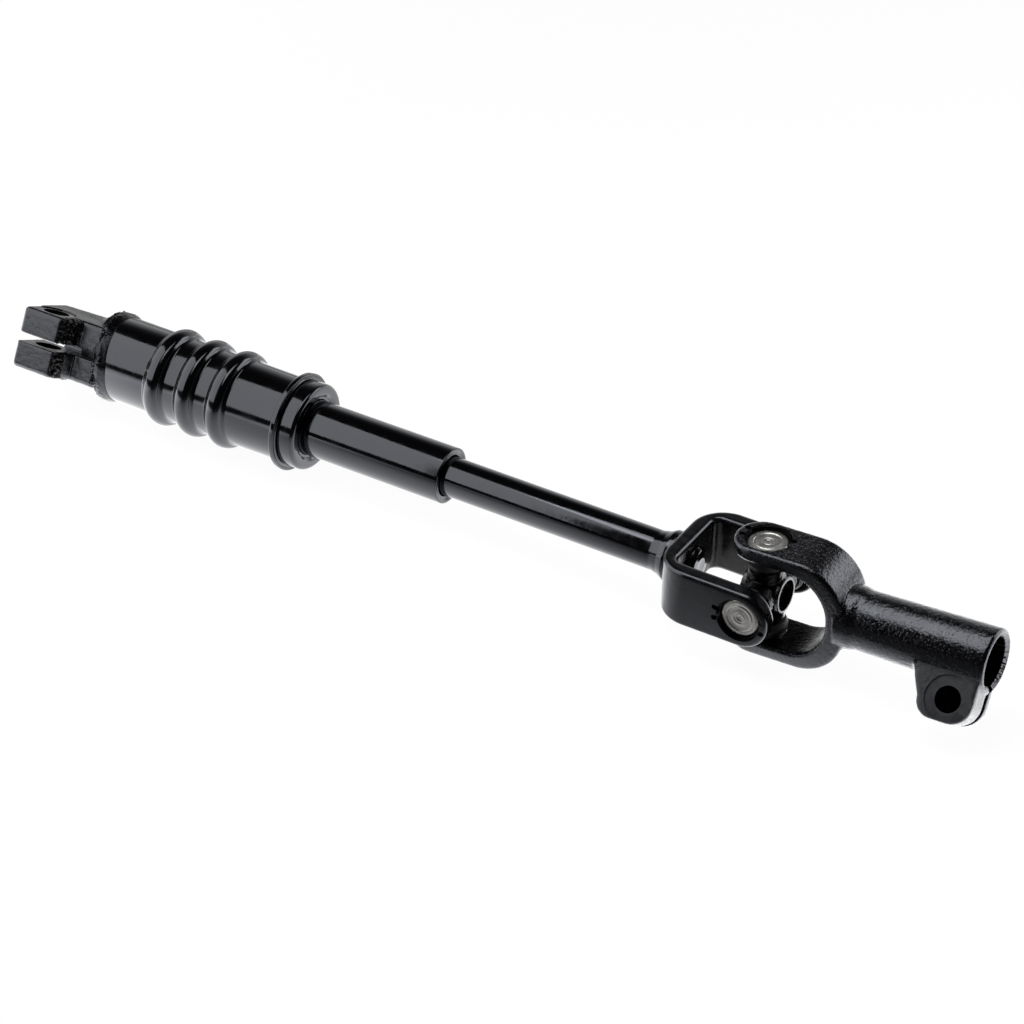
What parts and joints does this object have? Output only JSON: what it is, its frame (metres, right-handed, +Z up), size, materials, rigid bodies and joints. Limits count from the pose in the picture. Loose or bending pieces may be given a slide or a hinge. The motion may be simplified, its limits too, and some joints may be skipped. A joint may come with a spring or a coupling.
{
  "type": "steering column shaft",
  "caption": "Steering column shaft: corrugated crash tube with a split clamp fork, a telescoping slip shaft, and a universal joint with a splined pinch hub",
  "frame": {"origin": "middle of the bounding box at the ground it lies on", "axes": "+X along the shaft from the clamp fork to the output hub, +Z up from the ground, +Y across the shaft, away from the side that shows both pinch ears"},
  "size_m": [0.4118, 0.052, 0.047],
  "materials": {
    "black_paint": "gloss black paint on drawn steel tube and rod",
    "black_forging": "thin semi-gloss black coat over a slightly rough forged surface",
    "bare_steel": "bright drawn steel, fine turned rings",
    "hardened_steel": "ground hardened steel",
    "nylon": "natural moulded plastic",
    "seal_rubber": "black moulded rubber"
  },
  "bodies": {
    "column_tube": {"clamp_fork": "black_forging", "crash_tube": "black_paint", "end_cap": "black_paint", "slip_sleeve": "black_paint", "spline_bush": "nylon", "guide_ring": "nylon"},
    "slip_assembly": {"slip_shaft": "black_paint", "shaft_yoke": "black_forging", "bearing_cup_front": "bare_steel", "needle_rollers_front": "hardened_steel", "cup_seal_front": "seal_rubber", "thrust_disc_front": "nylon", "bearing_cup_rear": "bare_steel", "needle_rollers_rear": "hardened_steel", "cup_seal_rear": "seal_rubber", "thrust_disc_rear": "nylon"},
    "cross_body": {"joint_cross": "black_forging"},
    "output_assembly": {"output_yoke": "black_forging", "bearing_cup_upper": "bare_steel", "needle_rollers_upper": "hardened_steel", "cup_seal_upper": "seal_rubber", "thrust_disc_upper": "nylon", "bearing_cup_lower": "bare_steel", "needle_rollers_lower": "hardened_steel", "cup_seal_lower": "seal_rubber", "thrust_disc_lower": "nylon"}
  },
  "joints": [
    {"name": "shaft_slide", "type": "slide", "parent": "column_tube", "child": "slip_assembly", "axis": [0.9999, 0, 0.0139], "range_m": [-0.035, 0.01]},
    {"name": "cross_turn", "type": "hinge", "parent": "slip_assembly", "child": "cross_body", "pos_m": [0.11439, 0.00313, 0.02337], "axis": [0, 1, 0], "range_deg": [-32.5, 37.5]},
    {"name": "hub_turn", "type": "hinge", "parent": "cross_body", "child": "output_assembly", "pos_m": [0.11439, 0.00313, 0.02337], "axis": [-0.0575, 0, 0.9983], "range_deg": [-35, 35]}
  ]
}
